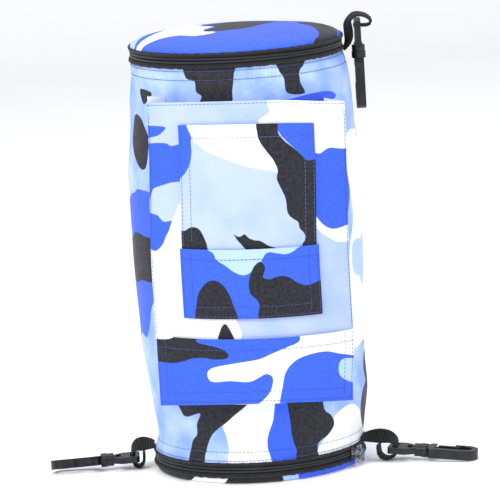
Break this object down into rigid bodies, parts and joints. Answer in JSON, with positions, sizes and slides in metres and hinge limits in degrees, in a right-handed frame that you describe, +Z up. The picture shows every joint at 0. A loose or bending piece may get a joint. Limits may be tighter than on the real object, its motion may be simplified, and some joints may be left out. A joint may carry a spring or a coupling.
{
  "type": "cylindrical gear bag",
  "caption": "Upright cylindrical padded camouflage bag with zipped end lids, a bellows front pocket with patch pockets, and swivel snap hooks on webbing loops.",
  "frame": {"origin": "on the floor at the middle of the bag's round base", "axes": "+Z up the bag's axis, -Y out of the front pocket, +X to the right seen from the front"},
  "size_m": [0.3433, 0.1969, 0.3586],
  "materials": {
    "camo_fabric": "woven polyester printed in white, light blue, royal blue and charcoal",
    "white_gusset": "plain woven polyester",
    "foam": "closed-cell foam, hidden",
    "lining": "plain woven lining",
    "black_binding": "folded ribbon binding, matt",
    "zip_tape": "herringbone zip tape",
    "zip_coil": "nylon coil",
    "zip_metal": "bright plated",
    "webbing": "ribbed webbing",
    "black_plastic": "moulded acetal, satin"
  },
  "bodies": {
    "bag": {"outer_shell": "camo_fabric", "foam_wall": "foam", "inner_lining": "lining", "top_rim_binding": "black_binding", "bottom_rim_binding": "black_binding", "top_zip_body_tape": "zip_tape", "bottom_zip_body_tape": "zip_tape", "top_zip_body_coil": "zip_coil", "bottom_zip_body_coil": "zip_coil", "top_zip_stops": "zip_metal", "bottom_zip_stops": "zip_metal", "top_hinge_fabric": "black_binding", "bottom_hinge_fabric": "black_binding", "pocket_front_panel": "camo_fabric", "pocket_left_gusset": "white_gusset", "pocket_right_gusset": "white_gusset", "pocket_floor_gusset": "white_gusset", "upper_patch_pocket": "camo_fabric", "lower_patch_pocket": "camo_fabric", "wide_patch_pocket": "camo_fabric"},
    "top_lid": {"top_lid_cover": "camo_fabric", "top_lid_foam": "foam", "top_lid_lining": "lining", "top_lid_binding": "black_binding", "top_lid_zip_tape": "zip_tape", "top_lid_zip_coil": "zip_coil"},
    "bottom_lid": {"bottom_lid_cover": "camo_fabric", "bottom_lid_foam": "foam", "bottom_lid_lining": "lining", "bottom_lid_binding": "black_binding", "bottom_lid_zip_tape": "zip_tape", "bottom_lid_zip_coil": "zip_coil"},
    "top_slider_a": {"top_slider_a": "zip_metal"},
    "top_pull_a": {"top_pull_a": "zip_metal"},
    "top_slider_b": {"top_slider_b": "zip_metal"},
    "top_pull_b": {"top_pull_b": "zip_metal"},
    "bottom_slider_a": {"bottom_slider_a": "zip_metal"},
    "bottom_pull_a": {"bottom_pull_a": "zip_metal"},
    "bottom_slider_b": {"bottom_slider_b": "zip_metal"},
    "bottom_pull_b": {"bottom_pull_b": "zip_metal"},
    "top_loop": {"top_loop": "webbing"},
    "top_eye": {"top_hook_eye": "black_plastic"},
    "top_hook": {"top_hook": "black_plastic"},
    "top_gate": {"top_gate": "black_plastic"},
    "left_loop": {"left_loop": "webbing"},
    "left_eye": {"left_hook_eye": "black_plastic"},
    "left_hook": {"left_hook": "black_plastic"},
    "left_gate": {"left_gate": "black_plastic"},
    "right_loop": {"right_loop": "webbing"},
    "right_eye": {"right_hook_eye": "black_plastic"},
    "right_hook": {"right_hook": "black_plastic"},
    "right_gate": {"right_gate": "black_plastic"}
  },
  "joints": [
    {"name": "top_lid_hinge", "type": "hinge", "parent": "bag", "child": "top_lid", "pos_m": [0, 0.08647, 0.3365], "axis": [-1, 0, 0], "range_deg": [0, 110]},
    {"name": "bottom_lid_hinge", "type": "hinge", "parent": "bag", "child": "bottom_lid", "pos_m": [0, 0.08647, 0.011], "axis": [1, 0, 0], "range_deg": [0, 110]},
    {"name": "top_slider_a_travel", "type": "hinge", "parent": "bag", "child": "top_slider_a", "pos_m": [0, 0, 0.3365], "axis": [0, 0, 1], "range_deg": [0, 196]},
    {"name": "top_pull_a_swing", "type": "hinge", "parent": "top_slider_a", "child": "top_pull_a", "pos_m": [-0.07892, 0.04021, 0.3365], "axis": [0.454, 0.891, 0], "range_deg": [0, 165]},
    {"name": "top_slider_b_travel", "type": "hinge", "parent": "bag", "child": "top_slider_b", "pos_m": [0, 0, 0.3365], "axis": [0, 0, 1], "range_deg": [-23, 0]},
    {"name": "top_pull_b_swing", "type": "hinge", "parent": "top_slider_b", "child": "top_pull_b", "pos_m": [-0.07343, 0.04953, 0.3365], "axis": [0.5592, 0.829, 0], "range_deg": [0, 165]},
    {"name": "bottom_slider_a_travel", "type": "hinge", "parent": "bag", "child": "bottom_slider_a", "pos_m": [0, 0, 0.011], "axis": [0, 0, 1], "range_deg": [0, 80.5]},
    {"name": "bottom_pull_a_swing", "type": "hinge", "parent": "bottom_slider_a", "child": "bottom_pull_a", "pos_m": [0.08123, -0.03532, 0.011], "axis": [-0.3987, -0.9171, 0], "range_deg": [0, 165]},
    {"name": "bottom_slider_b_travel", "type": "hinge", "parent": "bag", "child": "bottom_slider_b", "pos_m": [0, 0, 0.011], "axis": [0, 0, 1], "range_deg": [-206.5, 0]},
    {"name": "bottom_pull_b_swing", "type": "hinge", "parent": "bottom_slider_b", "child": "bottom_pull_b", "pos_m": [0.07671, -0.04429, 0.011], "axis": [-0.5, -0.866, 0], "range_deg": [0, 165]},
    {"name": "top_loop_lift", "type": "hinge", "parent": "bag", "child": "top_loop", "pos_m": [0.0869, 0, 0.3301], "axis": [0, 1, 0], "range_deg": [-3.5, 0.5]},
    {"name": "top_eye_tilt", "type": "hinge", "parent": "top_loop", "child": "top_eye", "pos_m": [0.0972, 0, 0.3483], "axis": [0, 1, 0], "range_deg": [-2.5, 1]},
    {"name": "top_hook_swivel", "type": "hinge", "parent": "top_eye", "child": "top_hook", "pos_m": [0.0972, 0, 0.32755], "axis": [0, 0, -1], "range_deg": [-10, 10]},
    {"name": "top_gate_press", "type": "hinge", "parent": "top_hook", "child": "top_gate", "pos_m": [0.0972, 0.0052, 0.31825], "axis": [-1, 0, 0], "range_deg": [0, 20], "stiffness_Nm_per_rad": 0.003, "springref_deg": -17.19},
    {"name": "left_loop_lift", "type": "hinge", "parent": "bag", "child": "left_loop", "pos_m": [-0.0853, 0, 0.0183], "axis": [0, -1, 0], "range_deg": [-34, 8]},
    {"name": "left_eye_tilt", "type": "hinge", "parent": "left_loop", "child": "left_eye", "pos_m": [-0.1027, 0, 0.0088], "axis": [0, -1, 0], "range_deg": [-12, 12]},
    {"name": "left_hook_swivel", "type": "hinge", "parent": "left_eye", "child": "left_hook", "pos_m": [-0.12343, 0, 0.008], "axis": [-0.9993, 0, -0.0384], "continuous": true},
    {"name": "left_gate_press", "type": "hinge", "parent": "left_hook", "child": "left_gate", "pos_m": [-0.13277, -0.00508, 0.00877], "axis": [0.0375, -0.2164, -0.9756], "range_deg": [0, 20], "stiffness_Nm_per_rad": 0.003, "springref_deg": -17.19},
    {"name": "right_loop_lift", "type": "hinge", "parent": "bag", "child": "right_loop", "pos_m": [0.08277, -0.02064, 0.0183], "axis": [0.2419, 0.9703, 0], "range_deg": [-34, 8]},
    {"name": "right_eye_tilt", "type": "hinge", "parent": "right_loop", "child": "right_eye", "pos_m": [0.10861, -0.02708, 0.0092], "axis": [0.2419, 0.9703, 0], "range_deg": [-15, 12]},
    {"name": "right_hook_swivel", "type": "hinge", "parent": "right_eye", "child": "right_hook", "pos_m": [0.12869, -0.03209, 0.00757], "axis": [0.9673, -0.2412, -0.0785], "continuous": true},
    {"name": "right_gate_press", "type": "hinge", "parent": "right_hook", "child": "right_gate", "pos_m": [0.13894, -0.02928, 0.00684], "axis": [-0.0761, 0.019, -0.9969], "range_deg": [0, 20], "stiffness_Nm_per_rad": 0.003, "springref_deg": -17.19}
  ]
}
